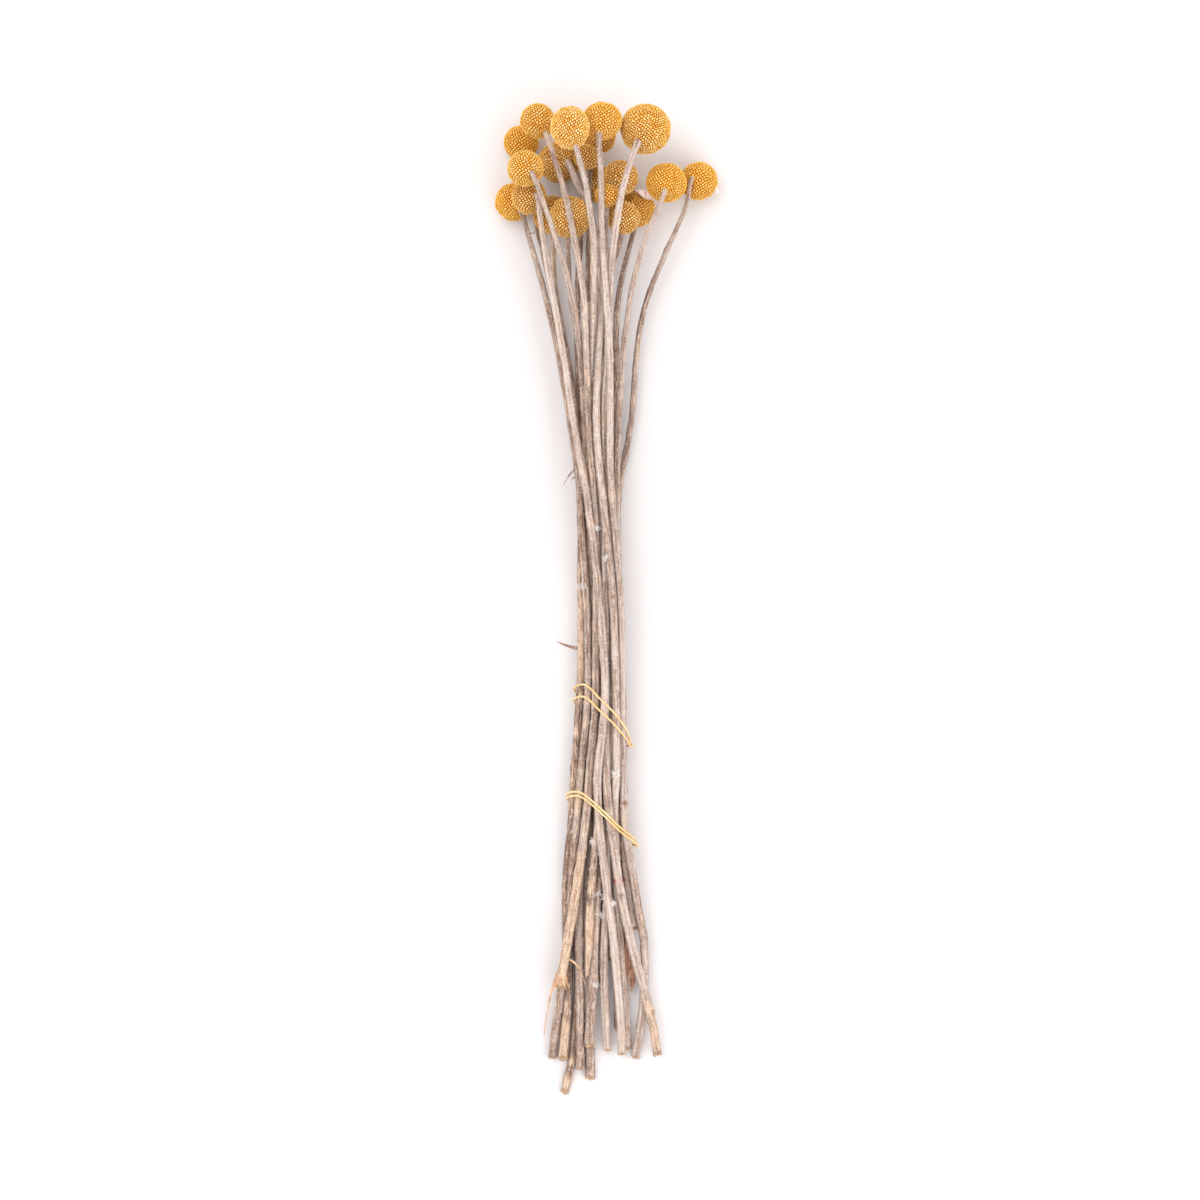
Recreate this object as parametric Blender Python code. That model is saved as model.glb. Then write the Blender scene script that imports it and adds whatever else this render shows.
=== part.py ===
"""A tied bunch of dried billy buttons, lying on a surface with its heads towards +Y.

Every flower is a ball of florets on a thin felted stem. Two rubber bands, each wound twice,
hold the stems together. The stems are laid out by settling them: each one is drawn to its own
place across the bunch, pressed down, and kept clear of the others, the heads and the surface.
"""

import math
from collections import namedtuple

import bmesh
import bpy
import numpy as np
from mathutils import Vector

MM = 0.001  # one millimetre in Blender's metres

# Driving sizes in millimetres. X runs across the bunch, Y along it, Z up from the surface.
CLEARANCE = 0.42
EYE_HEIGHT = 2500.0
SHARP_HEIGHT = 10.0
STATIONS = np.array(
    (238, 228, 218, 208, 198, 188, 179, 169, 158, 146, 132, 116, 98, 78, 56, 34, 12, -10, -32)
    + (-50, -66, -84, -100, -114, -132, -152, -172, -192, -212, -232, -250),
    float,
)
LEVELS = (220, 200, 180, 150, 120, 90, 60, 20, -20, -60, -100, -140, -170, -200, -230)
NECK_MARGIN = 1.5
SIDEWAYS_ROOT = 0.98  # a root whose flat part is longer than this faces level with the surface
STEM_SIDES = 6
TIP_RADIUS_SHARE = 0.35
WISP_HALF_THICKNESS = 0.35
WISP_TAPER = 0.6
WISP_STEPS = 5

# The heads: points on each ball, how far the florets rise from them, and the two flats.
HEAD_POINTS = 70
SMALL_BALL = 8.0  # a ball no bigger than this has half the points
FLORET_RISE = 0.95
ROOT_FLAT_ANGLE = math.radians(19)
ROOT_FLAT_DEPTH = 0.55
REST_FLAT_ANGLE = math.radians(25)
REST_FLAT_DEPTH = 0.95

# The rubber bands: the strand, and where each band lies along the bunch.
STRAND_RADIUS = 0.6
STRAND_SIDES = 5
BAND_STEPS = 26
BAND_SLACK = 0.3
BAND_REACH = 24.0  # how far beyond its own places along the bunch a band lifts the stems
BAND_FLOOR = 4 * STRAND_RADIUS + 2 * CLEARANCE

# The settling: its steps, and the shares by which each thing moves at every step.
SETTLING_STEPS = 1800
POLISH_STEPS = 1500
LAYER = 2.2  # the rise from one stem's place in the pile to the next, at the start
FIRM, LOOSE = 0.30, 0.04  # the pull to its own place of a stem that is seen, and of a hidden one
SEEN_ORDER = 8  # stems from this place up in the pile are seen
SEEN_BESIDE = (17, 18, 19)  # flowers that lie low, at the side, and whose stems are seen too
STIFFNESS = (0.10, 0.30)
STEM_PUSH = 0.6
HEAD_PUSH = 0.5
HEAD_PULL = 0.15
HEIGHT_PULL = 0.08
ROOT_PULL = 0.75

# Colours and finish.
FLORET_GOLD = (0.80, 0.42, 0.06, 1)
STEM_BEIGE = (0.58, 0.46, 0.36, 1)
BAND_ORANGE = (0.86, 0.55, 0.20, 1)

# One flower: its head's centre, ball radius, which way its root faces, the height the head lies
# at, its place across the bunch at each level below the neck, where its foot ends, the stem's
# radius at foot, middle and neck, and its order in the pile at middle and foot.
Flower = namedtuple("Flower", "head ball root height across foot radii order")
FLOWERS = (
    Flower((-31.5, 239.5), 9.0, (0.50, -0.72), 24,
           (-22.7, -16.7, -13, -7.2, -6.5, -6, -3, -1, -2, -1.5, -5.8, -10.5, -16),
           (-20.3, -193.4), (1.5, 1.9, 2.7), (16, 19)),
    Flower((-14.7, 236.5), 10.3, (0.27, -0.88), 55,
           (-9.5, -6, -2.8, -2.8, -3.5, -1.5, -0.5, 1.5, 5.5, 6, 4, 2.5, 0.8, 1.8),
           (4.2, -225.7), (1.6, 1.8, 2.1), (14, 11)),
    Flower((-20, 219), 10.5, (0.38, 0.05), 14,
           (-9.5, -2, 2.5, -1.2, -3, 0.2, 5.2, 8.2, 8.5, 7.5, 8, 9.8, 12.5),
           (13.5, -225), (1.9, 2.0, 2.2), (18, 12)),
    Flower((1.3, 239), 9.8, (-0.18, -0.67), 44,
           (0.2, 0.8, 1, 3, 5.8, 5, 4.8, 8.8, 11.8, 10, 11.5, 15.5, 22.8, 23.5),
           (16.5, -229.2), (1.6, 1.9, 2.2), (17, 9)),
    Flower((0, 231.5), 8.5, (-0.35, -0.93), 12,
           (-3, -5.5, -5.5, -5.8, -5, -4, -2, -1, 1, 0, 1.5, -3.8, -3.8),
           (-6.2, -187.8), (1.4, 1.9, 2.3), (9, 15)),
    Flower((22.6, 235.7), 13.0, (-0.31, -0.56), 36,
           (15.5, 10.2, 7.2, 4.8, 2.8, 2, 3, 3.5, 3, 3, 5.5, 9, 15, 24),
           (30.2, -227.8), (1.8, 2.0, 2.4), (15, 16)),
    Flower((-39.5, 228.7), 9.0, (0.27, -0.96), 9,
           (-32, -28.2, -23.2, -17, -13, -8.5, -4, -2, -1, -4, -7, -8.5, -7.5, -5),
           (-5, -239.7), (1.4, 1.9, 2.7), (1, 6)),
    Flower((-37.8, 214.5), 9.3, (0.35, -0.16), 39,
           (-29, -22.5, -12.8, -9, -7.8, -6, -5.5, -3.5, -4, -8, -10, -10.5, -10.2, -10),
           (-10, -234.8), (1.4, 1.8, 2.2), (11, 7)),
    Flower((-41.5, 199), 9.8, (0.36, -0.46), 9.8,
           (-35, -26.5, -19.8, -14.8, -10.2, -6.8, -5.2, -6, -10.8, -13.5, -15.5, -19),
           (-24, -229.5), (1.3, 1.9, 2.1), (12, 13)),
    Flower((-24, 192.5), 10.2, (0, -1), 10.2,
           (-24.1, -22, -15.5, -11.5, -9.5, -10.2, -8.5, -10.5, -14.2, -16.2, -16, -14.5),
           (-17.5, -229.5), (1.4, 1.9, 2.9), (8, 10)),
    Flower((-36.5, 202.5), 9.0, (0.39, 0.22), 25,
           (-31.5, -28.5, -23.2, -17.5, -14, -7.2, -2, 2.2, 3.5, -1.5, 2.8, 7.2, 9.8),
           (12.2, -227.5), (1.5, 2.0, 2.2), (19, 18)),
    Flower((-14, 192.5), 10.7, (-0.1, -0.99), 29,
           (-15.2, -15.8, -8, -7, -4.5, -3.5, -1, 0, 0, -1.5, 0),
           (-0.8, -194), (1.2, 1.7, 2.0), (10, 8)),
    Flower((0, 208.5), 9.5, (0.1, -0.99), 9.5,
           (0, 0, 0, 0.5, 2, 3, 2.5, 2.5, 1.5, 0, -1.5, -4.5),
           (-5.5, -222.8), (1.4, 1.9, 2.7), (6, 14)),
    Flower((4.2, 201.7), 6.5, (0, -1), 37,
           (2.5, 0.5, 0, 1.5, 3.5, 6, 7.5, 8, 9.5, 12.2),
           (19.3, -164.6), (1.3, 1.7, 2.1), (13, 17)),
    Flower((11, 211), 9.0, (-0.4, -0.9), 25,
           (6.8, 5.2, 2, 1.5, 3, 5.5, 7, 9.5, 11, 10, 11, 13),
           (13.5, -175), (1.4, 1.8, 2.0), (3, 2)),
    Flower((10, 192.8), 8.5, (-0.1, -0.99), 26,
           (6, 3.5, 3, 3.5, 5.5, 6, 6, 6, 6, 7, 8.5),
           (8.5, -180), (1.4, 1.8, 2.0), (2, 1)),
    Flower((-8, 221), 7.0, (0, -1), 24,
           (-9.5, -9.5, -11.8, -11.5, -10.5, -8, -8.5, -6.5, -7.5, -11.5, -14, -14.5, -16, -18),
           (-18.5, -246.8), (1.4, 1.8, 2.2), (0, 0)),
    Flower((19, 195.5), 9.5, (-0.1, -0.99), 9.5,
           (15.5, 8.2, 8, 8, 8.5, 9, 9.5, 13, 10.5, 10, 8.8, 8),
           (10, -215), (1.4, 1.8, 2.1), (5, 5)),
    Flower((34.2, 208.5), 10.5, (-0.02, -0.33), 24,
           (31, 22.5, 14.8, 11.2, 9, 8.5, 9.2, 8, 7, 5.5, 5, 6),
           (6, -172.5), (1.3, 1.8, 2.0), (7, 4)),
    Flower((49.5, 209.5), 9.8, (-0.36, 0.10), 9.8,
           (45.8, 36, 22.5, 17.3, 17.6, 9.5, 8.5, 9, 8.5, 4, -1, -2),
           (-1, -180), (1.2, 1.8, 2.0), (4, 3)),
)

# The bunch's sides where the bands draw it in: along, left edge and right edge.
BUNDLE_EDGES = (
    (95, -80, 80),
    (68, -14.5, 13),
    (50, -11.5, 10),
    (25, -11, 10.5),
    (0, -11.5, 12.5),
    (-25, -11, 13),
    (-42, -11.5, 12.5),
    (-58, -12.5, 14.5),
    (-75, -14, 13),
    (-100, -15.5, 14),
    (-125, -17, 15.5),
    (-150, -22, 24),
    (-170, -80, 80),
)

# A dried leaf, bark strip or knob on a stem: the flower it grew on, where along the bunch its
# root lies, the way to its tip, and its width at the root. Each one tapers to its tip.
Wisp = namedtuple("Wisp", "flower root bend tip width")
WISPS = (
    Wisp(9, -24.5, (-6, 0.5, 1.0), (-12.0, 2.5, 2.0), 1.8),
    Wisp(8, 65.0, (-4.5, -2.5, 0.5), (-7.5, -7.0, 0.5), 1.2),
    Wisp(0, -180.0, (-7.0, -9.0, -2.0), (-10.2, -37.5, -8.5), 1.6),
    Wisp(8, 182.5, (3.4, -0.5, 0.4), (4.6, 2.2, 0.6), 1.0),
)

# Each rubber band: its middle along the bunch at its end nearest the heads, on the left, and at
# its other end, on the right, the angle round the bunch where that end lies, how far apart its
# two turns lie, how sharply they swap sides, and the angle where they cross.
Band = namedtuple("Band", "name left right end apart sharpness crossing")
BANDS = (
    Band("rubber_band_upper", -45.0, -73.0, math.radians(-20), 3.0, 1.0, math.radians(-20)),
    Band("rubber_band_lower", -96.5, -123.0, math.radians(-20), 1.0, 3.0, math.radians(-25)),
)


def root_direction(item):
    """The unit direction from a head's centre to its root, facing up where it can be seen."""
    across, along = item.root
    flat = math.hypot(across, along)
    if flat >= SIDEWAYS_ROOT:
        return np.array((across / flat, along / flat, 0.0))
    return np.array((across, along, math.sqrt(1 - flat * flat)))


def reach(direction, item):
    """How far from the head's centre the stem's own end lies."""
    slant = math.hypot(direction[0], direction[2])
    return item.ball - ROOT_FLAT_DEPTH + CLEARANCE + slant * item.radii[0]


def route(item):
    """The stem's place across the bunch at every station, before it settles."""
    direction = root_direction(item)
    neck = item.head[1] + direction[1] * reach(direction, item)
    levels = [y for y in LEVELS if item.foot[1] < y < neck - NECK_MARGIN]
    if len(levels) != len(item.across):
        raise ValueError(f"{item.head}: {len(levels)} levels below the neck at {neck:.1f}")
    along = [neck, *levels, item.foot[1]]
    across = [item.head[0] + direction[0] * reach(direction, item), *item.across, item.foot[0]]
    return np.interp(-STATIONS, -np.array(along), across), neck


def radii(item):
    return np.interp(-STATIONS, (-230, 0, 240), item.radii)


def pair_corrections(points, spans, radius, pairs):
    """Pushes apart every two stems that come closer than their radii, segment by segment."""
    first, second = pairs
    low = np.maximum(spans[0][first], spans[0][second])
    high = np.minimum(spans[1][first], spans[1][second])
    apart = points[second] - points[first]
    start = apart[:, :-1]
    run = apart[:, 1:] - start
    share = -(start * run).sum(2) / np.maximum((run * run).sum(2), 1e-9)
    share = np.clip(share, low, np.maximum(high, low))
    gap = start + run * share[..., None]
    distance = np.sqrt((gap * gap).sum(2)) + 1e-9
    both = radius[first] + radius[second]
    need = both[:, :-1] * (1 - share) + both[:, 1:] * share + CLEARANCE
    short = np.where((high > low) & (distance < need), need - distance, 0.0)
    push = gap / distance[..., None] * short[..., None] * 0.5
    scale = (1 - share) ** 2 + share**2
    move = np.zeros_like(points)
    upper = push * ((1 - share) / scale)[..., None]
    lower = push * (share / scale)[..., None]
    np.add.at(move, (second, slice(None, -1)), upper)
    np.add.at(move, (second, slice(1, None)), lower)
    np.add.at(move, (first, slice(None, -1)), -upper)
    np.add.at(move, (first, slice(1, None)), -lower)
    return move, short.max()


def head_corrections(points, spans, radius, heads, balls, own_reach):
    """Pushes stems and heads apart. A stem passes over its own head where its root faces up."""
    count = len(heads)
    wide = np.stack((points[..., 0], np.broadcast_to(STATIONS, points.shape[:2]), points[..., 1]), 2)
    start = wide[None, :, :-1]
    run = wide[None, :, 1:] - start
    to_head = heads[:, None, None, :] - start
    share = (to_head * run).sum(3) / (run * run).sum(3)
    low = np.broadcast_to(spans[0][None], share.shape)
    high = np.broadcast_to(spans[1][None], share.shape)
    share = np.clip(share, low, np.maximum(high, low))
    gap = start + run * share[..., None] - heads[:, None, None, :]
    distance = np.sqrt((gap * gap).sum(3)) + 1e-9
    need = radius[None, :, :-1] * (1 - share) + radius[None, :, 1:] * share
    need = need + balls[:, None, None] + CLEARANCE
    own = np.eye(count, dtype=bool)[:, :, None]
    need = np.where(own, own_reach[:, None, None], need)
    short = np.where((high > low) & (distance < need), need - distance, 0.0)
    push = gap / distance[..., None] * short[..., None]
    scale = ((1 - share) ** 2 + share**2)[..., None]
    flat = push[..., (0, 2)] * 0.7
    move = np.zeros_like(points)
    move[:, :-1] += (flat * (1 - share)[..., None] / scale).sum(0)
    move[:, 1:] += (flat * share[..., None] / scale).sum(0)
    return move, -0.3 * push.sum((1, 2)), short.max()


def band_floor():
    """The lowest that a stem's underside may lie at each station: on the bands, or the surface."""
    floor = np.zeros(len(STATIONS))
    for band in BANDS:
        upper = max(band.left, band.right) + band.apart + BAND_REACH
        lower = min(band.left, band.right) - band.apart - BAND_REACH
        floor[(STATIONS < upper) & (STATIONS > lower)] = BAND_FLOOR
    return floor


def settle():
    """Where every stem and head comes to lie: (points, radii, spans, heads)."""
    count = len(FLOWERS)
    aim = np.array([route(item)[0] for item in FLOWERS])
    radius = np.array([radii(item) for item in FLOWERS])
    balls = np.array([item.ball for item in FLOWERS])
    roots = np.array([root_direction(item) for item in FLOWERS])
    reaches = np.array([reach(root, item) for root, item in zip(roots, FLOWERS)])
    own_reach = np.where(roots[:, 2] > 0.5, reaches - 0.05, 0.0)
    feet = np.array([item.foot[1] for item in FLOWERS])
    wanted = np.array([item.head for item in FLOWERS])
    heights = np.array([item.height for item in FLOWERS], float)
    heads = np.column_stack((wanted, heights))
    points = np.stack((aim, np.zeros_like(aim)), 2)
    for index, item in enumerate(FLOWERS):
        middle = LAYER * (1 + item.order[0])
        foot = LAYER * (1 + item.order[1])
        neck = heights[index] + roots[index][2] * reaches[index]
        points[index, :, 1] = np.interp(
            -STATIONS, (-210, -130, 100, 160), (neck, middle, middle, foot)
        )
    # A stem that the photograph shows keeps its place; one that is hidden may shift.
    seen_high = [max(item.order) >= SEEN_ORDER for item in FLOWERS]
    firm = np.where(seen_high, FIRM, LOOSE)[:, None]
    firm[list(SEEN_BESIDE)] = FIRM
    edges = np.array(BUNDLE_EDGES).T
    left = np.interp(-STATIONS, -edges[0], edges[1]) + radius
    right = np.interp(-STATIONS, -edges[0], edges[2]) - radius
    floor = band_floor()
    first, second = np.triu_indices(count, 1)
    spacing = STATIONS[:-1] - STATIONS[1:]
    rows = np.arange(count)
    for step in range(SETTLING_STEPS + POLISH_STEPS):
        settling = step < SETTLING_STEPS
        fade = 1 - step / SETTLING_STEPS
        necks = heads[:, 1] + roots[:, 1] * reaches
        low = np.clip((STATIONS[:-1] - necks[:, None]) / spacing, 0, 1)
        high = np.clip((STATIONS[:-1] - feet[:, None]) / spacing, 0, 1)
        spans = (low, high)
        if settling:
            seen = (EYE_HEIGHT - points[..., 1]) / (EYE_HEIGHT - SHARP_HEIGHT)
            points[..., 0] += (aim * seen - points[..., 0]) * firm
            points[..., 1] -= 0.10 * fade + 0.02
            before, after = spacing[:-1], spacing[1:]
            level = points[:, :-2] * (after / (before + after))[:, None]
            level = level + points[:, 2:] * (before / (before + after))[:, None]
            points[:, 1:-1] += (level - points[:, 1:-1]) * STIFFNESS
            seen = (EYE_HEIGHT - heads[:, 2:]) / (EYE_HEIGHT - SHARP_HEIGHT)
            heads[:, :2] += (wanted * seen - heads[:, :2]) * HEAD_PULL
            heads[:, 2] += (heights - heads[:, 2]) * HEIGHT_PULL
        apart = heads[None] - heads[:, None]
        distance = np.sqrt((apart * apart).sum(2)) + np.eye(count) * 1e6
        short = np.clip(balls[:, None] + balls[None] + CLEARANCE - distance, 0, None)
        heads -= (apart / distance[..., None] * short[..., None]).sum(1) * 0.35
        stems_move, stems_worst = pair_corrections(points, spans, radius, (first, second))
        over_move, heads_move, over_worst = head_corrections(
            points, spans, radius, heads, balls, own_reach
        )
        points += stems_move * STEM_PUSH + over_move * HEAD_PUSH
        heads += heads_move * HEAD_PUSH
        # Each stem's end stays at its own head's root.
        ends = heads + roots * reaches[:, None]
        here = np.searchsorted(-STATIONS, -ends[:, 1]) - 1
        share = (STATIONS[here] - ends[:, 1]) / spacing[here]
        now = points[rows, here] * (1 - share)[:, None] + points[rows, here + 1] * share[:, None]
        miss = ends[:, (0, 2)] - now
        scale = ((1 - share) ** 2 + share**2)[:, None]
        points[rows, here] += miss * ROOT_PULL * (1 - share)[:, None] / scale
        points[rows, here + 1] += miss * ROOT_PULL * share[:, None] / scale
        heads[:, (0, 2)] -= miss * (1 - ROOT_PULL)
        for row in rows:
            points[row, : here[row]] = points[row, here[row]]
        points[..., 0] = np.clip(points[..., 0], left, right)
        points[..., 1] = np.maximum(points[..., 1], radius + floor)
        heads[:, 2] = np.maximum(heads[:, 2], balls - REST_FLAT_DEPTH)
    print(f"settled: stems {stems_worst:.3f}, heads {short.max():.3f}, over {over_worst:.3f} mm short")
    return points, radius, heads, roots, reaches, feet


def material(name, colour, roughness):
    made = bpy.data.materials.new(name)
    made.use_nodes = True
    shader = made.node_tree.nodes["Principled BSDF"]
    shader.inputs["Base Color"].default_value = colour
    shader.inputs["Roughness"].default_value = roughness
    made.diffuse_color = colour
    return made


def add_object(name, bm, finish):
    """A named object from a bmesh in millimetres, with its faces turned outwards."""
    bmesh.ops.recalc_face_normals(bm, faces=bm.faces)
    bmesh.ops.scale(bm, vec=(MM, MM, MM), verts=bm.verts)
    mesh = bpy.data.meshes.new(name)
    bm.to_mesh(mesh)
    bm.free()
    mesh.materials.append(finish)
    made = bpy.data.objects.new(name, mesh)
    bpy.context.collection.objects.link(made)
    return made


def skin(bm, rings, closed=False):
    """Joins rings of vertices into one tube, with flat ends unless it closes on itself."""
    follow = rings[1:] + rings[:1] if closed else rings[1:]
    for one, other in zip(rings, follow):
        for side in range(len(one)):
            turn = (side + 1) % len(one)
            bm.faces.new((one[side], one[turn], other[turn], other[side]))
    if not closed:
        bm.faces.new(rings[0])
        bm.faces.new(rings[-1][::-1])


def ring(bm, centre, radius, sides=STEM_SIDES):
    """A ring in the X-Z plane with a corner straight down, so that stems rest on an edge."""
    made = []
    for side in range(sides):
        angle = -math.pi / 2 + side * 2 * math.pi / sides
        offset = Vector((radius * math.cos(angle), 0, radius * math.sin(angle)))
        made.append(bm.verts.new(centre + offset))
    return made


def stem_at(line, radius, along):
    """A stem's centre and radius at any place along the bunch."""
    place = -np.array((along,))
    x = np.interp(place, -STATIONS, line[:, 0])[0]
    z = np.interp(place, -STATIONS, line[:, 1])[0]
    return Vector((x, along, z)), float(np.interp(place, -STATIONS, radius)[0])


def build_stem(name, line, radius, neck, foot, tapered, finish):
    bm = bmesh.new()
    inner = [y for y in STATIONS if foot + 2 < y < neck - 2]
    rings = []
    for along in [neck, *inner, foot]:
        centre, size = stem_at(line, radius, along)
        if tapered and along == foot:
            size *= TIP_RADIUS_SHARE
        rings.append(ring(bm, centre, size))
    skin(bm, rings)
    return add_object(name, bm, finish)


def add_wisp(stem, wisp, line, radius):
    """Grows a tapering dried strip out of its stem's middle and fuses it to the stem."""
    root, _ = stem_at(line, radius, wisp.root)
    bend = root + Vector(wisp.bend)
    tip = root + Vector(wisp.tip)
    bm = bmesh.new()
    rings = []
    for step in range(WISP_STEPS + 1):
        share = step / WISP_STEPS
        centre = root * (1 - share) ** 2 + bend * 2 * share * (1 - share) + tip * share**2
        heading = ((bend - root) * (1 - share) + (tip - bend) * share).normalized()
        across = heading.cross(Vector((0, 0, 1))).normalized()
        upward = across.cross(heading)
        width = wisp.width * (1 - WISP_TAPER * share) / 2
        thick = WISP_HALF_THICKNESS
        corners = ((-width, -thick), (width, -thick), (width, thick), (-width, thick))
        rings.append([bm.verts.new(centre + across * a + upward * b) for a, b in corners])
    skin(bm, rings)
    strip = add_object("wisp", bm, stem.data.materials[0])
    joined = stem.modifiers.new("grown_on", "BOOLEAN")
    joined.operation = "UNION"
    joined.object = strip
    graph = bpy.context.evaluated_depsgraph_get()
    whole = bpy.data.meshes.new_from_object(stem.evaluated_get(graph))
    stem.modifiers.remove(joined)
    stem.data = whole
    bpy.data.objects.remove(strip)


def flatten(bm, centre, normal, ball, angle, depth):
    """Brings every point round one pole of a ball onto one flat face."""
    for vert in bm.verts:
        away = vert.co - centre
        height = away.dot(normal)
        if away.angle(normal) < angle:
            vert.co -= normal * (height - (ball - depth))


def build_head(name, centre, ball, root, finish):
    """A ball of three-sided florets: lattice points mark the furrows, and each face is raised.

    It is flat where its stem meets it, and where it would otherwise sink into the surface."""
    bm = bmesh.new()
    points = HEAD_POINTS if ball > SMALL_BALL else HEAD_POINTS // 2
    golden = math.pi * (3 - math.sqrt(5))
    spin = Vector(root).to_track_quat("Z", "Y")
    low = ball - FLORET_RISE + 0.15
    for index in range(points):
        height = 1 - 2 * (index + 0.5) / points
        flat = math.sqrt(1 - height * height)
        turn = Vector((flat * math.cos(golden * index), flat * math.sin(golden * index), height))
        bm.verts.new(spin @ turn * low)
    bmesh.ops.convex_hull(bm, input=bm.verts)
    bmesh.ops.poke(bm, faces=bm.faces[:], offset=FLORET_RISE, use_relative_offset=False)
    for vert in bm.verts:
        if vert.co.length > ball:
            vert.co *= ball / vert.co.length
    flatten(bm, Vector((0, 0, 0)), Vector(root), ball, ROOT_FLAT_ANGLE, ROOT_FLAT_DEPTH)
    if centre.z < ball:
        down = Vector((0, 0, -1))
        flatten(bm, Vector((0, 0, 0)), down, ball, REST_FLAT_ANGLE, ball - centre.z)
    bmesh.ops.translate(bm, vec=centre, verts=bm.verts)
    return add_object(name, bm, finish)


def hull_radius(circles, centre, angle):
    """How far the stretched outline of a set of circles lies from its centre, at one angle."""
    toward = np.array((math.cos(angle), math.sin(angle)))
    samples = np.linspace(angle - 1.45, angle + 1.45, 59)
    normals = np.column_stack((np.cos(samples), np.sin(samples)))
    support = ((circles[:, :2] - centre) @ normals.T + circles[:, 2:]).max(0)
    return float((support / (normals @ toward)).min())


def keep_clear(rail, points, radius, spans):
    """Moves a strand's points off any stem that they still come too close to."""
    count = len(rail)
    for step in range(4 * count):
        one = step % count
        other = (one + 1) % count
        for share in (0.0, 0.5):
            here = rail[one].lerp(rail[other], share)
            for row, (neck, foot) in enumerate(spans):
                if not neck > here.y > foot:
                    continue
                centre, size = stem_at(points[row], radius[row], here.y)
                away = Vector((here.x - centre.x, 0, here.z - centre.z))
                short = size + STRAND_RADIUS + CLEARANCE - away.length
                if short > 0:
                    push = away.normalized() * short
                    rail[one] += push * (1 - share)
                    rail[other] += push * share


def build_band(band, points, radius, spans, finish):
    """One closed loop of two turns round the bunch, the one crossing outside the other."""
    bm = bmesh.new()
    steps = BAND_STEPS * 2
    rail = []
    for step in range(steps):
        turned = 4 * math.pi * step / steps
        angle = turned + band.crossing + math.pi
        lean = (math.cos(angle - band.end) + 1) / 2
        middle = band.left + (band.right - band.left) * lean
        swing = math.cos(turned / 2)
        side = math.tanh(swing * band.sharpness * 2) / math.tanh(band.sharpness * 2)
        along = middle + band.apart * side
        circles = []
        for nearby in (along - 6, along - 3, along, along + 3, along + 6):
            for row in range(len(points)):
                if spans[row][0] > nearby > spans[row][1]:
                    centre, size = stem_at(points[row], radius[row], nearby)
                    circles.append((centre.x, centre.z, size))
        circles = np.array(circles)
        middle_point = np.array((circles[:, 0].mean(), circles[:, 1].mean()))
        out = hull_radius(circles, middle_point, angle) + STRAND_RADIUS + CLEARANCE + BAND_SLACK
        if turned < 2 * math.pi:
            between = 2 * band.apart * abs(side)
            near = np.clip((2 * STRAND_RADIUS + 0.7 - between) / 0.4, 0, 1)
            out += near * (2 * STRAND_RADIUS + CLEARANCE)
        rail.append(Vector((middle_point[0] + out * math.cos(angle), along,
                            middle_point[1] + out * math.sin(angle))))
    keep_clear(rail, points, radius, spans)
    rings = []
    for step in range(steps):
        here = rail[step]
        heading = (rail[(step + 1) % steps] - rail[step - 1]).normalized()
        side = heading.cross(Vector((0, 1, 0))).normalized()
        up = side.cross(heading)
        made = []
        for corner in range(STRAND_SIDES):
            angle = corner * 2 * math.pi / STRAND_SIDES
            offset = side * math.cos(angle) + up * math.sin(angle)
            made.append(bm.verts.new(here + offset * STRAND_RADIUS))
        rings.append(made)
    skin(bm, rings, closed=True)
    return add_object(band.name, bm, finish)


def centre_on_origin(objects):
    """Moves the whole bunch so that its box stands centred on the origin, on Z = 0."""
    corners = np.array([vert.co for made in objects for vert in made.data.vertices])
    low, high = corners.min(0), corners.max(0)
    shift = Vector((-(low[0] + high[0]) / 2, -(low[1] + high[1]) / 2, -low[2]))
    for made in objects:
        for vert in made.data.vertices:
            vert.co += shift


for old in list(bpy.data.objects):
    bpy.data.objects.remove(old)

points, radius, heads, roots, reaches, feet = settle()
gold = material("dried florets", FLORET_GOLD, 0.9)
beige = material("felted stem", STEM_BEIGE, 0.95)
orange = material("rubber band", BAND_ORANGE, 0.45)
made_objects = []
spans = []
for index, item in enumerate(FLOWERS):
    number = f"{index + 1:02d}"
    neck = heads[index][1] + roots[index][1] * reaches[index]
    spans.append((neck, feet[index]))
    stem = build_stem(
        f"stem_{number}", points[index], radius[index], neck, feet[index], index == 4, beige
    )
    for wisp in WISPS:
        if wisp.flower == index:
            add_wisp(stem, wisp, points[index], radius[index])
    centre = Vector(heads[index])
    head = build_head(f"head_{number}", centre, item.ball, Vector(roots[index]), gold)
    made_objects += [stem, head]
for band in BANDS:
    made_objects.append(build_band(band, points, radius, spans, orange))
centre_on_origin(made_objects)
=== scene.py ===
"""A tied bunch of dried billy buttons lying on a pale surface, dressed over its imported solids."""

import math

import bmesh
import bpy
import numpy as np
from mathutils import Matrix, Vector, noise


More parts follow.
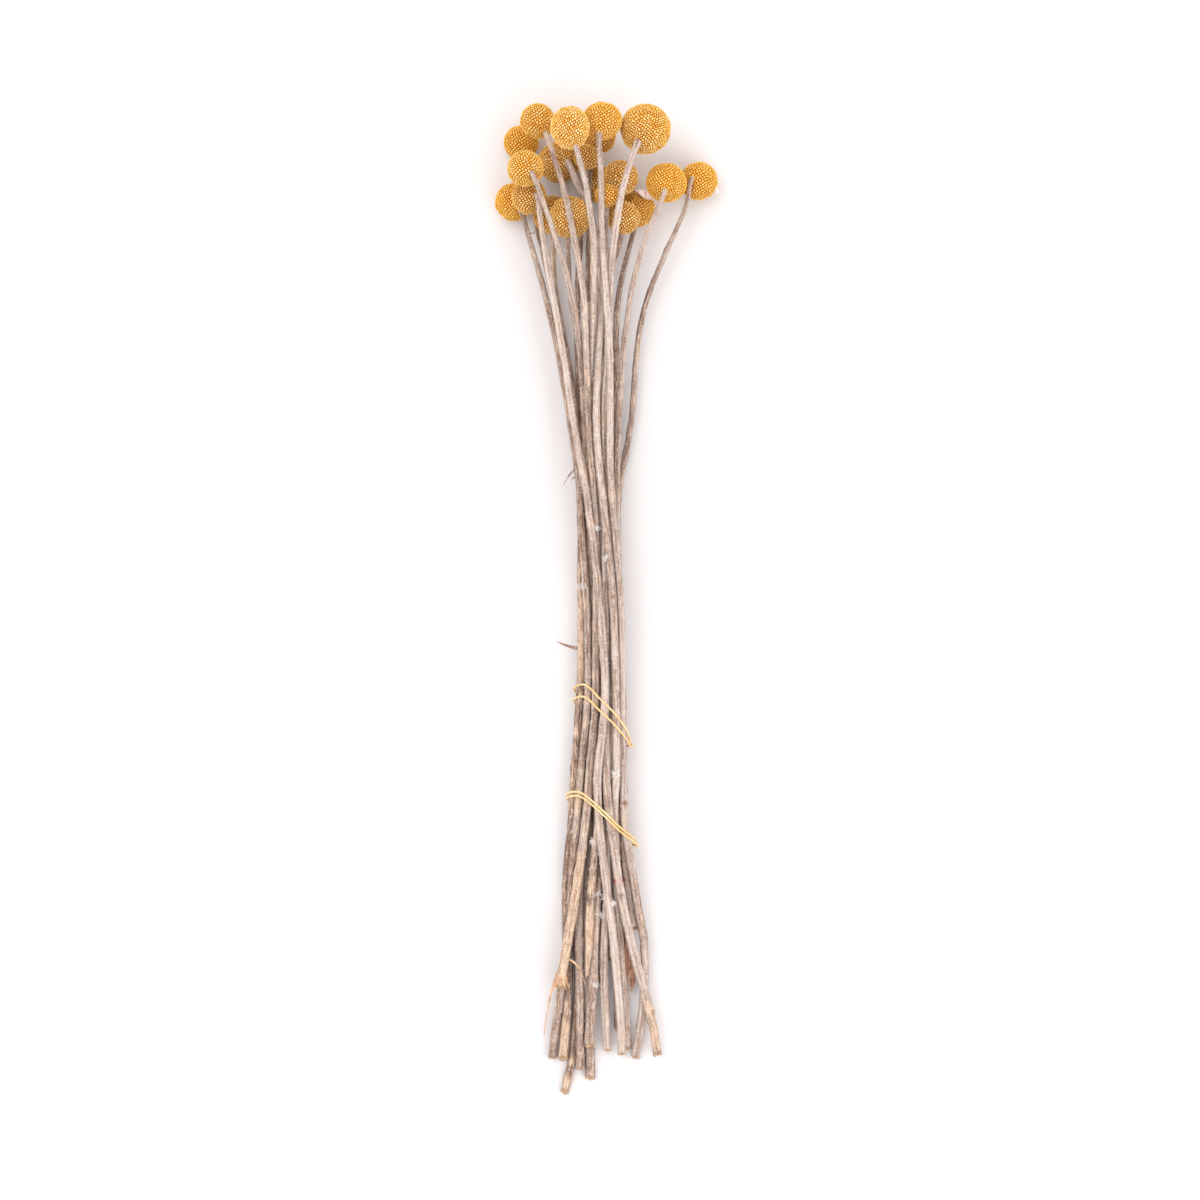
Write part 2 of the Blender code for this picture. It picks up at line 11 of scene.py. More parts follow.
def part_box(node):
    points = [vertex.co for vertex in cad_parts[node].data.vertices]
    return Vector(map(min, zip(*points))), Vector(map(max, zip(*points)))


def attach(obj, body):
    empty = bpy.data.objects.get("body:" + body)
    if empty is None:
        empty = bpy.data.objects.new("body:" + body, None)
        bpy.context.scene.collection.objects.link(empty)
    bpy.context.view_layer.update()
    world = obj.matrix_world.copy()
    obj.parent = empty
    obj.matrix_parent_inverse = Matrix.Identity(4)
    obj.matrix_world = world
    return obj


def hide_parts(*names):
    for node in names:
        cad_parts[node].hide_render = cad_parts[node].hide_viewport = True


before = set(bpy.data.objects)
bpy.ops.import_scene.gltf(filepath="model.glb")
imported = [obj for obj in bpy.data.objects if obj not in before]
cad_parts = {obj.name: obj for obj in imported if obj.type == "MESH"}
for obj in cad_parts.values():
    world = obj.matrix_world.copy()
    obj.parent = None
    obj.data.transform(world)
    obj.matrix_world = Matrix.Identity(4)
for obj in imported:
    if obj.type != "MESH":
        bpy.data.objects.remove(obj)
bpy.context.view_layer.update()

# Every run gives the same small irregularities.
STRAY_SEED = 7
noise.seed_set(STRAY_SEED)

# The surface and the light. The bunch lies on plain near-white board, with a faint warm pink in
# it, under a wide soft light from above and white walls all round. The camera looks straight
# down, and its picture is 600 mm wide at the middle of the stems.
EYE_HEIGHT = 2.5
SHARP_HEIGHT = 0.010
FIELD = 0.600
FILM = 36.0
PICTURE_CENTRE = (-0.0032, -0.0001)

eye = bpy.data.objects.new("camera", bpy.data.cameras.new("camera"))
eye.location = (*PICTURE_CENTRE, EYE_HEIGHT)
eye.data.sensor_fit = "HORIZONTAL"
eye.data.sensor_width = FILM
eye.data.lens = FILM * (EYE_HEIGHT - SHARP_HEIGHT) / FIELD
eye.data.clip_end = 20
bpy.context.collection.objects.link(eye)
bpy.context.scene.camera = eye
bpy.context.scene.view_settings.view_transform = "Standard"


def add_light(name, place, size, power):
    """A square soft light that faces the middle of the bunch."""
    lamp = bpy.data.lights.new(name, "AREA")
    lamp.size = size
    lamp.energy = power
    made = bpy.data.objects.new(name, lamp)
    made.location = place
    made.rotation_euler = (-Vector(place)).to_track_quat("-Z", "Y").to_euler()
    bpy.context.collection.objects.link(made)


add_light("key_light", (-0.7, 0.8, 1.9), 1.6, 17)
add_light("fill_light", (1.2, -0.9, 1.6), 1.8, 13)
studio = bpy.data.worlds.new("studio")
studio.use_nodes = True
studio.node_tree.nodes["Background"].inputs["Color"].default_value = (1.0, 0.975, 0.98, 1)
studio.node_tree.nodes["Background"].inputs["Strength"].default_value = 1.06
bpy.context.scene.world = studio


def add_node(finish, kind, inputs=(), **settings):
    """A node in a finish. Each input is a value, or another node's output to link from."""
    made = finish.node_tree.nodes.new(kind)
    for name, value in settings.items():
        setattr(made, name, value)
    for name, value in dict(inputs).items():
        if isinstance(value, bpy.types.NodeSocket):
            finish.node_tree.links.new(value, made.inputs[name])
        else:
            made.inputs[name].default_value = value
    return made


def new_finish(name, roughness, sheen=0.0):
    """A finish and its shader. Values that are the same all over go on the shader's sockets."""
    finish = bpy.data.materials.new(name)
    finish.use_nodes = True
    shader = finish.node_tree.nodes["Principled BSDF"]
    shader.inputs["Roughness"].default_value = roughness
    shader.inputs["Sheen Weight"].default_value = sheen
    return finish, shader


def add_ramp(finish, source, *stops):
    """A colour ramp over a value. Each stop is its place and its colour."""
    ramp = add_node(finish, "ShaderNodeValToRGB", {"Fac": source})
    for stop in stops[2:]:
        ramp.color_ramp.elements.new(stop[0])
    for element, stop in zip(ramp.color_ramp.elements, stops):
        element.position = stop[0]
        element.color = (*stop[1], 1)
    return ramp.outputs["Color"]


def add_mix(finish, share, low, high, blend="MIX"):
    """One colour laid over another."""
    made = add_node(finish, "ShaderNodeMix", data_type="RGBA", blend_type=blend)
    for slot, value in ((0, share), (6, low), (7, high)):
        if isinstance(value, bpy.types.NodeSocket):
            finish.node_tree.links.new(value, made.inputs[slot])
        else:
            made.inputs[slot].default_value = value
    return made.outputs[2]


def add_noise(finish, place, scale, detail=3.0, stretch=(1, 1, 1)):
    """Noise over a pattern's coordinates, stretched along its axes."""
    spread = add_node(finish, "ShaderNodeMapping", {"Vector": place, "Scale": stretch})
    made = add_node(
        finish,
        "ShaderNodeTexNoise",
        {"Vector": spread.outputs["Vector"], "Scale": scale, "Detail": detail},
    )
    return made.outputs["Fac"]


def add_bump(finish, shader, height, distance, strength=1.0):
    """Fine relief, as a depth in metres."""
    inputs = {"Height": height, "Distance": distance, "Strength": strength}
    made = add_node(finish, "ShaderNodeBump", inputs)
    finish.node_tree.links.new(made.outputs["Normal"], shader.inputs["Normal"])


def add_piece(name, bm, finish):
    """A finished mesh as an object at the origin."""
    mesh = bpy.data.meshes.new(name)
    bm.to_mesh(mesh)
    bm.free()
    mesh.materials.append(finish)
    made = bpy.data.objects.new(name, mesh)
    bpy.context.collection.objects.link(made)
    return made


board, board_shader = new_finish("pale_board", 0.9)
grain = add_noise(board, add_node(board, "ShaderNodeTexCoord").outputs["Object"], 6.0)
board_colour = add_ramp(board, grain, (0.3, (0.800, 0.782, 0.785)), (0.7, (0.815, 0.797, 0.800)))
board.node_tree.links.new(board_colour, board_shader.inputs["Base Color"])
bm = bmesh.new()
bmesh.ops.create_grid(bm, x_segments=1, y_segments=1, size=3)
add_piece("floor", bm, board)

# The flower heads. Each is a hard dry ball of several hundred tight golden florets, set in
# spirals on a pithy core. Every floret is a small raised knob, pale at its tip, with a darker
# orange furrow round it, darkened partly by painted shade. A head grows on its own stem, and a
# low one is pressed flat below.
FLORET_PITCH = 0.00142
FLORET_RISE = 0.00055
TIP_HEIGHT = 0.00008
FLORET_GAP = 0.10
FLORET_STRAY = 0.05
FLORET_LIFT = 0.034
FLORET_SHARE = 0.866
TONE_SPREAD = 0.9
TIP_EDGE = 0.15
HEAD_LUMP = 0.00035
ROOT_BROWNING = 0.30
# Painted shade: the lower-left side of head 06, shaded by the heads beside it, is painted browner, and this
# shade is added to the head's age.
SHADED_HEAD = "06"
SHADED_SIDE = Vector((-0.75, -0.62, 0.2))
SHADED_DARKENING = 0.65

# Heads that aren't quite round, by how much they are stretched across and along the bunch.
HEAD_STRETCH = {"02": (0.95, 1.06), "04": (1.04, 1.0), "19": (1.0, 0.97)}

# How brown each head has aged, from fresh yellow at 0 to brown at 1, and how bleached its tips.
HEAD_AGE = {
    "01": (0.15, 0.55),
    "02": (0.05, 0.90),
    "03": (0.75, 0.45),
    "04": (0.15, 0.30),
    "05": (0.60, 0.15),
    "06": (0.20, 0.60),
    "07": (0.15, 0.10),
    "08": (0.20, 0.60),
    "09": (0.20, 0.10),
    "10": (0.55, 0.55),
    "11": (0.75, 0.30),
    "12": (0.55, 0.70),
    "13": (0.60, 0.70),
    "14": (0.30, 0.35),
    "15": (0.55, 0.75),
    "16": (0.60, 0.75),
    "17": (0.75, 0.55),
    "18": (0.30, 0.30),
    "19": (0.05, 0.20),
    "20": (0.05, 0.25),
}

florets, floret_shader = new_finish("dried_florets", 0.85, 0.03)
rise = add_node(florets, "ShaderNodeAttribute", attribute_name="rise").outputs["Fac"]
tone = add_node(florets, "ShaderNodeAttribute", attribute_name="tone").outputs["Fac"]
# The age attribute carries each head's own browning and the painted shade on head 06.
age_and_shade = add_node(florets, "ShaderNodeAttribute", attribute_name="age_and_shade").outputs["Fac"]
bleach = add_node(florets, "ShaderNodeAttribute", attribute_name="bleach").outputs["Fac"]
# The furrows round the florets are painted darker than the tips: partly the florets' own orange, partly
# painted shade in the furrows.
golden = add_ramp(
    florets,
    rise,
    (0.0, (0.50, 0.135, 0.004)),
    (0.35, (0.80, 0.31, 0.010)),
    (0.70, (0.95, 0.48, 0.030)),
    (1.0, (0.99, 0.64, 0.095)),
)
# The browned florets' furrows are painted darker too, partly as painted shade.
aged_and_shaded = add_ramp(
    florets,
    rise,
    (0.0, (0.26, 0.075, 0.006)),
    (0.35, (0.52, 0.195, 0.018)),
    (0.75, (0.76, 0.37, 0.06)),
    (1.0, (0.88, 0.55, 0.15)),
)
floret_place = add_node(florets, "ShaderNodeTexCoord").outputs["Object"]
mottle = add_noise(florets, floret_place, 260.0, 2.0)
patchy = add_node(
    florets, "ShaderNodeMath", {0: mottle, 1: 0.9, 2: -0.45}, operation="MULTIPLY_ADD"
).outputs[0]
browned_and_shaded = add_node(
    florets, "ShaderNodeMath", {0: age_and_shade, 1: patchy}, operation="ADD", use_clamp=True
).outputs[0]
body = add_mix(florets, browned_and_shaded, golden, aged_and_shaded)
tips = add_node(
    florets, "ShaderNodeMath", {0: rise, 1: 4.0}, operation="POWER"
).outputs[0]
tips = add_node(florets, "ShaderNodeMath", {0: tips, 1: bleach}, operation="MULTIPLY").outputs[0]
tips = add_node(florets, "ShaderNodeMath", {0: tips, 1: tone}, operation="MULTIPLY").outputs[0]
body = add_mix(florets, tips, body, (1.0, 0.85, 0.45, 1))
shade = add_ramp(florets, tone, (0.1, (0.84, 0.78, 0.68)), (0.5, (1.0, 1.0, 1.0)))
body = add_mix(florets, 1.0, body, shade, "MULTIPLY")
florets.node_tree.links.new(body, floret_shader.inputs["Base Color"])
fuzz = add_noise(florets, floret_place, 5200.0, 2.0)
add_bump(florets, floret_shader, fuzz, 0.00012, 0.7)

head_places = {}
for number, (head_age, head_bleach) in HEAD_AGE.items():
    node = f"head_{number}"
    low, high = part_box(node)
    ball = (high.x - low.x) / 2
    centre = Vector(((low.x + high.x) / 2, (low.y + high.y) / 2, high.z - ball))
    head_places[number] = (centre, ball)
    core = ball - FLORET_RISE
    count = round(4 * math.pi * core * core / (FLORET_SHARE * FLORET_PITCH * FLORET_PITCH))
    spiral = math.pi * (3 - math.sqrt(5))
    own = int(number)
    bm = bmesh.new()
    for index in range(count):
        height = 1 - 2 * (index + 0.5) / count
        flat = math.sqrt(1 - height * height)
        turn = spiral * index + own
        away = Vector((flat * math.cos(turn), height, flat * math.sin(turn)))
        nudge = noise.noise_vector(away * 40 + Vector((own, 0, 0))) * FLORET_STRAY
        bm.verts.new((away + nudge).normalized() * core)
    bmesh.ops.convex_hull(bm, input=bm.verts)
    floret_faces = bmesh.ops.bevel(
        bm,
        geom=bm.verts[:],
        offset=46,
        offset_type="PERCENT",
        affect="VERTICES",
        segments=1,
        profile=0.5,
        material=-1,
    )["faces"]
    tone_layer = bm.verts.layers.float.new("tone")
    gap = FLORET_PITCH * FLORET_GAP
    bmesh.ops.inset_individual(bm, faces=floret_faces, thickness=gap, depth=FLORET_RISE)
    for floret in floret_faces:
        away = floret.calc_center_median().normalized()
        own_tone = 0.5 + TONE_SPREAD * noise.noise(away * 57 + Vector((0, own, 0)))
        lift = 1 + FLORET_LIFT * noise.noise(away * 31 + Vector((0, 0, own)))
        for vert in floret.verts:
            vert[tone_layer] = own_tone
            vert.co *= lift
    edge = FLORET_PITCH * TIP_EDGE
    bmesh.ops.inset_individual(bm, faces=floret_faces, thickness=edge, depth=TIP_HEIGHT)
    rise_layer = bm.verts.layers.float.new("rise")
    age_and_shade_layer = bm.verts.layers.float.new("age_and_shade")
    bleach_layer = bm.verts.layers.float.new("bleach")
    for vert in bm.verts:
        away = vert.co.normalized()
        vert[rise_layer] = min(1, max(0, (vert.co.length - core * 0.995) / (FLORET_RISE * 1.05)))
        browner_and_shaded = ROOT_BROWNING * max(0, -away.y)
        # Painted shade on head 06's lower-left side.
        if number == SHADED_HEAD:
            browner_and_shaded += SHADED_DARKENING * max(0, away.dot(SHADED_SIDE))
        vert[age_and_shade_layer] = head_age + browner_and_shaded
        vert[bleach_layer] = head_bleach
        vert.co += away * HEAD_LUMP * noise.noise(away * 2.2 + Vector((own, own, 0)))
        vert.co.z = max(vert.co.z, 0.00005 - centre.z)
    across, along = HEAD_STRETCH.get(number, (1.0, 1.0))
    bmesh.ops.scale(bm, vec=(across, along, 1.0), verts=bm.verts)
    bmesh.ops.translate(bm, vec=centre, verts=bm.verts)
    piece = add_piece(f"flower_head_{number}", bm, florets)
    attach(piece, "root")
    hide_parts(node)

# The stems. Each is a thin straight dried stalk with fine ridges along it under grey-beige felt,
# which has rubbed off to tan wood in places. It flares into its head, and is cut at its foot.
STEM_STEP = 0.0018
STEM_SIDES = 18
SMOOTHING = 0.006
NECK_RUN = 0.009
NECK_FLARE = 1.12
WIDE_NECKS = {"04": 1.25, "06": 1.35, "19": 1.25}
CUT_RIND = 0.22
CUT_DEPTH = 0.12
CUT_ROUGHNESS = 0.0008
CUT_SLANT = 0.5
SLANT_REACH = 0.004
NECK_SLIM = 0.86
NECK_ROWS = 14
NECK_STEPS = 8

# Feet that were torn off rather than cut: how deep each is hollow, for its radius, and how ragged.
TORN_FEET = {
    "01": (1.5, 0.0030),
    "05": (0.3, 0.0020),
    "12": (0.4, 0.0016),
    "13": (0.7, 0.0024),
    "14": (0.3, 0.0014),
}
RIDGES = 5
WANDER = 0.00026
SCAR_SPACING = 0.031
SCAR_LENGTH = 0.0016
KNOT_LENGTH = 0.0012

# Knots where a bud or a leaf has grown, by their places along the bunch.
KNOTS = {
    "01": (-0.052,),
    "04": (0.005, -0.087),
    "10": (0.012,),
    "14": (-0.150,),
    "20": (0.154, 0.098, 0.0725),
}

# Each stem's shade, from pale felt at 0 to brown at 1, and how much felt has rubbed off.
STEM_SHADE = {
    "01": (0.20, 0.45),
    "02": (0.10, 0.10),
    "03": (0.15, 0.15),
    "04": (0.15, 0.10),
    "05": (0.55, 0.45),
    "06": (0.10, 0.20),
    "07": (0.30, 0.20),
    "08": (0.30, 0.20),
    "09": (0.50, 0.35),
    "10": (0.60, 0.50),
    "11": (0.05, 0.10),
    "12": (0.40, 0.25),
    "13": (0.40, 0.25),
    "14": (0.35, 0.25),
    "15": (0.45, 0.25),
    "16": (0.45, 0.25),
    "17": (0.65, 0.40),
    "18": (0.60, 0.35),
    "19": (0.10, 0.15),
    "20": (0.50, 0.30),
}

felt, felt_shader = new_finish("felted_stem", 0.92, 0.12)
felt_shader.inputs["Sheen Roughness"].default_value = 0.6
shade = add_node(felt, "ShaderNodeAttribute", attribute_name="shade").outputs["Fac"]
bare = add_node(felt, "ShaderNodeAttribute", attribute_name="bare").outputs["Fac"]
ridge = add_node(felt, "ShaderNodeAttribute", attribute_name="ridge").outputs["Fac"]
scar = add_node(felt, "ShaderNodeAttribute", attribute_name="scar").outputs["Fac"]
cut = add_node(felt, "ShaderNodeAttribute", attribute_name="cut").outputs["Fac"]
stain = add_node(felt, "ShaderNodeAttribute", attribute_name="stain").outputs["Fac"]
crevice_shade_and_dust = add_node(felt, "ShaderNodeAttribute", attribute_name="crevice_shade_and_dust").outputs["Fac"]
wound = add_node(felt, "ShaderNodeUVMap").outputs["UV"]
place = add_node(felt, "ShaderNodeTexCoord").outputs["Object"]
grain = add_noise(felt, wound, 1.0, 3.0, (13, 26, 1))
streaks = add_noise(felt, wound, 1.0, 4.0, (16, 70, 1))
fibres = add_noise(felt, wound, 1.0, 3.0, (52, 300, 1))
blotches = add_noise(felt, place, 85.0, 3.0)
wool = add_noise(felt, place, 900.0, 4.0)


def add_sum(finish, *terms):
    """A weighted sum: each term is a value and its weight, and the last one is a plain number."""
    total = terms[-1]
    for value, weight in terms[:-1]:
        inputs = {0: value, 1: weight, 2: total}
        total = add_node(finish, "ShaderNodeMath", inputs, operation="MULTIPLY_ADD").outputs[0]
    return total


def add_step(finish, value, low, high):
    """A share from 0 to 1 as a value passes from low to high."""
    inputs = {"Value": value, "From Min": low, "From Max": high}
    return add_node(finish, "ShaderNodeMapRange", inputs).outputs[0]


lengthwise = add_sum(felt, (grain, 0.7), (streaks, 0.6), (fibres, 0.6), -0.64)
cover = add_sum(felt, (lengthwise, 1.0), (blotches, 0.3), (wool, 0.5), (shade, -0.34), -0.045)
skin = add_ramp(
    felt,
    cover,
    (0.30, (0.20, 0.115, 0.075)),
    (0.44, (0.37, 0.250, 0.190)),
    (0.58, (0.52, 0.395, 0.325)),
    (0.78, (0.72, 0.615, 0.555)),
)
tan = add_ramp(
    felt,
    add_sum(felt, (fibres, 0.7), (streaks, 0.7), (wool, 0.3), -0.35),
    (0.32, (0.34, 0.19, 0.11)),
    (0.50, (0.67, 0.475, 0.34)),
    (0.68, (0.84, 0.67, 0.52)),
)
peeled = add_sum(felt, (blotches, 1.1), (streaks, 1.0), (bare, 0.62), 0.0)
peeled = add_step(felt, peeled, 1.22, 1.42)
skin = add_mix(felt, peeled, skin, tan)
# Painted shade: the grooves between the stem's ridges are painted darker.
groove_shade = add_ramp(felt, ridge, (0.0, (0.48, 0.38, 0.32)), (0.45, (1.0, 1.0, 1.0)))
skin = add_mix(felt, 0.7, skin, groove_shade, "MULTIPLY")
# Painted shade, with some dust: the skin is painted near black where another stem lies close beside it.
skin = add_mix(felt, add_sum(felt, (crevice_shade_and_dust, 0.85), 0.0), skin, (0.085, 0.045, 0.03, 1))
skin = add_mix(felt, add_step(felt, scar, 0.2, 0.9), skin, (0.27, 0.14, 0.085, 1))
skin = add_mix(felt, add_step(felt, stain, 0.35, 1.1), skin, (0.55, 0.03, 0.03, 1))
sawn = add_sum(felt, (cut, 1.0), (wool, 0.9), -0.45)
pith = add_ramp(
    felt,
    sawn,
    (0.35, (0.40, 0.20, 0.09)),
    (0.50, (0.74, 0.52, 0.32)),
    (0.80, (0.66, 0.45, 0.28)),
    (1.0, (0.42, 0.25, 0.14)),
)
skin = add_mix(felt, add_step(felt, cut, 0.05, 0.3), skin, pith)
felt.node_tree.links.new(skin, felt_shader.inputs["Base Color"])
add_bump(felt, felt_shader, add_sum(felt, (fibres, 1.0), (wool, 0.9), 0.0), 0.00032, 0.9)


def read_course(node):
    """A stem's line and radius from its foot to its neck, read from the rings of its solid."""
    rings = {}
    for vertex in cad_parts[node].data.vertices:
        across = (round(vertex.co.x, 6), round(vertex.co.z, 6))
        rings.setdefault(round(vertex.co.y, 5), set()).add(across)
    course = []
    for along, ring in sorted(rings.items()):
        ring = np.array(sorted(ring))
        middle = ring.mean(0)
        sizes = np.hypot(*(ring - middle).T)
        if len(ring) == 6 and sizes.std() < 0.02 * sizes.mean():
            course.append((middle[0], along, middle[1], sizes.mean()))
    return np.array(course)


def smooth_course(course, step):
    """The same line at even steps, with its corners rounded."""
    along = np.arange(course[0, 1], course[-1, 1], step)
    fine = np.column_stack([np.interp(along, course[:, 1], course[:, k]) for k in range(4)])
    reach = int(3 * SMOOTHING / step)
    weights = np.exp(-0.5 * (np.arange(-reach, reach + 1) * step / SMOOTHING) ** 2)
    weights /= weights.sum()
    before = 2 * fine[0] - fine[reach:0:-1]
    after = 2 * fine[-1] - fine[-2 : -reach - 2 : -1]
    padded = np.vstack((before, fine, after))
    return np.column_stack([np.convolve(padded[:, k], weights, "valid") for k in range(4)])


def roll_stem(bm, line, sizes, own, knots):
    """Rolls a flat sheet into a ridged tube along a line, with its seam underneath."""
    last = len(line) - 1
    seam = bm.loops.layers.uv.new("UVMap")
    ridge_layer = bm.verts.layers.float.new("ridge")
    scar_layer = bm.verts.layers.float.new("scar")
    bmesh.ops.create_grid(bm, x_segments=STEM_SIDES, y_segments=last, size=1, calc_uvs=True)
    for face in bm.faces:
        for loop in face.loops:
            loop[seam].uv.x += own
    for vert in bm.verts:
        row = round((vert.co.y + 1) / 2 * last)
        around = (vert.co.x + 1) / 2 * 2 * math.pi
        heading = (line[min(row + 1, last)] - line[max(row - 1, 0)]).normalized()
        side = (Vector((1, 0, 0)) - heading * heading.x).normalized()
        upward = side.cross(heading)
        twist = 2.5 * noise.noise((own, row * 0.05, 0.5))
        wave = math.cos(around * RIDGES + twist) + 0.6 * math.cos(around * 3 + own - twist)
        rough = noise.noise((math.cos(around) * 2, math.sin(around) * 2 + own, row * 0.3))
        along = row * STEM_STEP + own * 0.007
        nearest = round(along / SCAR_SPACING)
        shift = 0.4 * noise.noise((nearest * 3.3, own, 0.2)) * SCAR_SPACING
        away = (along - nearest * SCAR_SPACING - shift) / SCAR_LENGTH
        facing = math.cos(around - nearest * 2.4 - own)
        knob = math.exp(-away * away)
        bump = knob * max(0, facing) ** 2
        for knot in knots:
            knob += 4 * math.exp(-(((line[row].y - knot) / KNOT_LENGTH) ** 2))
        size = sizes[row] * (0.96 + 0.030 * wave + 0.10 * rough + 0.05 * knob + 0.15 * bump)
        offset = side * -math.sin(around) + upward * -math.cos(around)
        vert.co = line[row] + offset * size
        vert[ridge_layer] = 0.5 + 0.31 * wave
        vert[scar_layer] = bump * (0.5 + noise.noise((nearest * 1.7, own, 3.1)))
    bmesh.ops.remove_doubles(bm, verts=bm.verts, dist=1e-6)


def cut_end(bm, end, size, depth):
    """Closes a tube's end with a cut: a ring of rind round a sunk pith."""
    cut_layer = bm.verts.layers.float.get("cut") or bm.verts.layers.float.new("cut")
    rim = [e for e in bm.edges if e.is_boundary and (e.verts[0].co - end).length < size * 1.6]
    cap = bmesh.ops.contextual_create(bm, geom=rim)["faces"]
    bmesh.ops.recalc_face_normals(bm, faces=bm.faces)
    for share, inset, sink in ((0.4, 0.04, 0), (0.5, CUT_RIND, 0), (1.0, 0.12, depth)):
        bmesh.ops.inset_individual(bm, faces=cap, thickness=size * inset, depth=-size * sink)
        for vert in cap[0].verts:
            vert[cut_layer] = share


# Where felt has rubbed off to tan wood: the stem, from where to where along it, and how much.
BARE_RUNS = (
    ("01", -0.195, -0.130, 0.75),
    ("10", -0.045, 0.010, 0.45),
    ("10", -0.232, -0.205, 0.60),
    ("12", -0.096, -0.074, 0.70),
    ("05", -0.190, -0.150, 0.65),
    ("06", -0.230, -0.205, 0.50),
)

BARE_FADE = 0.020

# Two short red stains, where a marker has touched the stems.
RED_STAINS = ((0.0040, -0.1402), (0.0087, -0.1400))
STAIN_SIZE = 0.0016

stem_lines = {}
stem_sizes = {}
stem_pieces = {}
for number, (stem_shade, rubbed) in STEM_SHADE.items():
    node = f"stem_{number}"
    own = int(number)
    course = smooth_course(read_course(node), STEM_STEP)
    centre, ball = head_places[number]
    neck = Vector(course[-1, :3])
    toward = (neck - centre).normalized()
    turn_out = course[course[:, 1] < neck.y - NECK_RUN]
    start = Vector(turn_out[-1, :3])
    bend = centre + toward * ((neck - centre).length + 0.0008)
    finish_at = centre + toward * (ball - 0.0012)
    line = stem_lines[number] = []
    for row in turn_out:
        here = Vector(row[:3])
        stray = noise.noise_vector((own, here.y * 45, 0))
        stray += 0.45 * noise.noise_vector((own, here.y * 190, 9.0))
        line.append(here + stray * WANDER)
    sizes = stem_sizes[number] = list(turn_out[:, 3])
    neck_size = course[-1, 3] * NECK_SLIM
    for row in range(NECK_ROWS):
        sizes[row - NECK_ROWS] *= 1 - (1 - NECK_SLIM) * row / NECK_ROWS
    flare = WIDE_NECKS.get(number, NECK_FLARE)
    for step in range(1, NECK_STEPS + 1):
        share = step / NECK_STEPS
        line.append(start * (1 - share) ** 2 + bend * 2 * share * (1 - share) + finish_at * share**2)
        sizes.append(neck_size * (1 + (flare - 1) * share * share))
    bm = bmesh.new()
    roll_stem(bm, line, sizes, own, KNOTS.get(number, ()))
    depth, reach = TORN_FEET.get(number, (CUT_DEPTH, CUT_ROUGHNESS))
    cut_end(bm, line[0], sizes[0], depth)
    cut_end(bm, line[-1], sizes[-1], CUT_DEPTH)
    for vert in bm.verts:
        below = line[0].y + reach - vert.co.y
        if below > 0:
            vert.co.y -= below * noise.noise(Vector((vert.co.x * 800, own, vert.co.z * 800)))
        slant = CUT_SLANT * max(0, 1 - (vert.co.y - line[0].y) / SLANT_REACH)
        vert.co.y += slant * (vert.co.z - line[0].z)
    shade_layer = bm.verts.layers.float.new("shade")
    bare_layer = bm.verts.layers.float.new("bare")
    stain_layer = bm.verts.layers.float.new("stain")
    for vert in bm.verts:
        for across, along in RED_STAINS:
            away = math.hypot(vert.co.x - across, vert.co.y - along) / STAIN_SIZE
            vert[stain_layer] = max(vert[stain_layer], math.exp(-away * away))
        vert[shade_layer] = stem_shade + 0.5 * noise.noise((own, vert.co.y * 22, 4.4))
        vert[bare_layer] = rubbed * 0.6
        for stem, low_end, high_end, amount in BARE_RUNS:
            if stem == number:
                inside = min(vert.co.y - low_end, high_end - vert.co.y) / BARE_FADE
                vert[bare_layer] += amount * min(1, max(0, 0.5 + inside))
    bmesh.ops.recalc_face_normals(bm, faces=bm.faces)
    for face in bm.faces:
        face.smooth = len(face.verts) == 4
    piece = stem_pieces[number] = add_piece(f"dried_stem_{number}", bm, felt)
    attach(piece, "root")
    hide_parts(node)

# Painted shade, with some dust, darkens the stems where they lie close to each other.
CREVICE = 0.0011
for number, piece in stem_pieces.items():
    mesh = piece.data
    points = np.empty(len(mesh.vertices) * 3)
    mesh.vertices.foreach_get("co", points)
    points = points.reshape(-1, 3)
    gap = np.full(len(points), CREVICE)
    for other, line in stem_lines.items():
        if other != number:
            course = np.column_stack((np.array(line), stem_sizes[other]))
            x, z, size = (np.interp(points[:, 1], course[:, 1], course[:, k]) for k in (0, 2, 3))
            beside = (points[:, 1] > course[0, 1]) & (points[:, 1] < course[-1, 1])
            away = np.hypot(points[:, 0] - x, points[:, 2] - z) - size
            gap = np.where(beside, np.minimum(gap, away), gap)
    gap_shade_and_dust = mesh.attributes.new("crevice_shade_and_dust", "FLOAT", "POINT")
    gap_shade_and_dust.data.foreach_set("value", 1 - np.clip(gap / CREVICE, 0, 1))

# The dried leaves and bark. A few withered leaves, bracts and torn strips still hang on the
# stems. Each is a thin curled blade that grows out of its stem and tapers to its tip.
BLADE_THICKNESS = 0.00022


def stem_spot(number, along):
    """The middle of a stem at a place along the bunch."""
    line = stem_lines[number]
    nearest = min(range(len(line)), key=lambda row: abs(line[row].y - along))
    return line[nearest].copy()


def leaf_finish(name, dark, middle, pale):
    """A dry leaf's finish: fine veins and blotches, matt."""
    finish, shader = new_finish(name, 0.8)
    where = add_node(finish, "ShaderNodeTexCoord").outputs["Object"]
    veins = add_noise(finish, where, 1.0, 3.0, (900, 160, 900))
    colour = add_ramp(finish, veins, (0.32, dark), (0.5, middle), (0.68, pale))
    finish.node_tree.links.new(colour, shader.inputs["Base Color"])
    add_bump(finish, shader, veins, 0.0002, 0.8)
    return finish


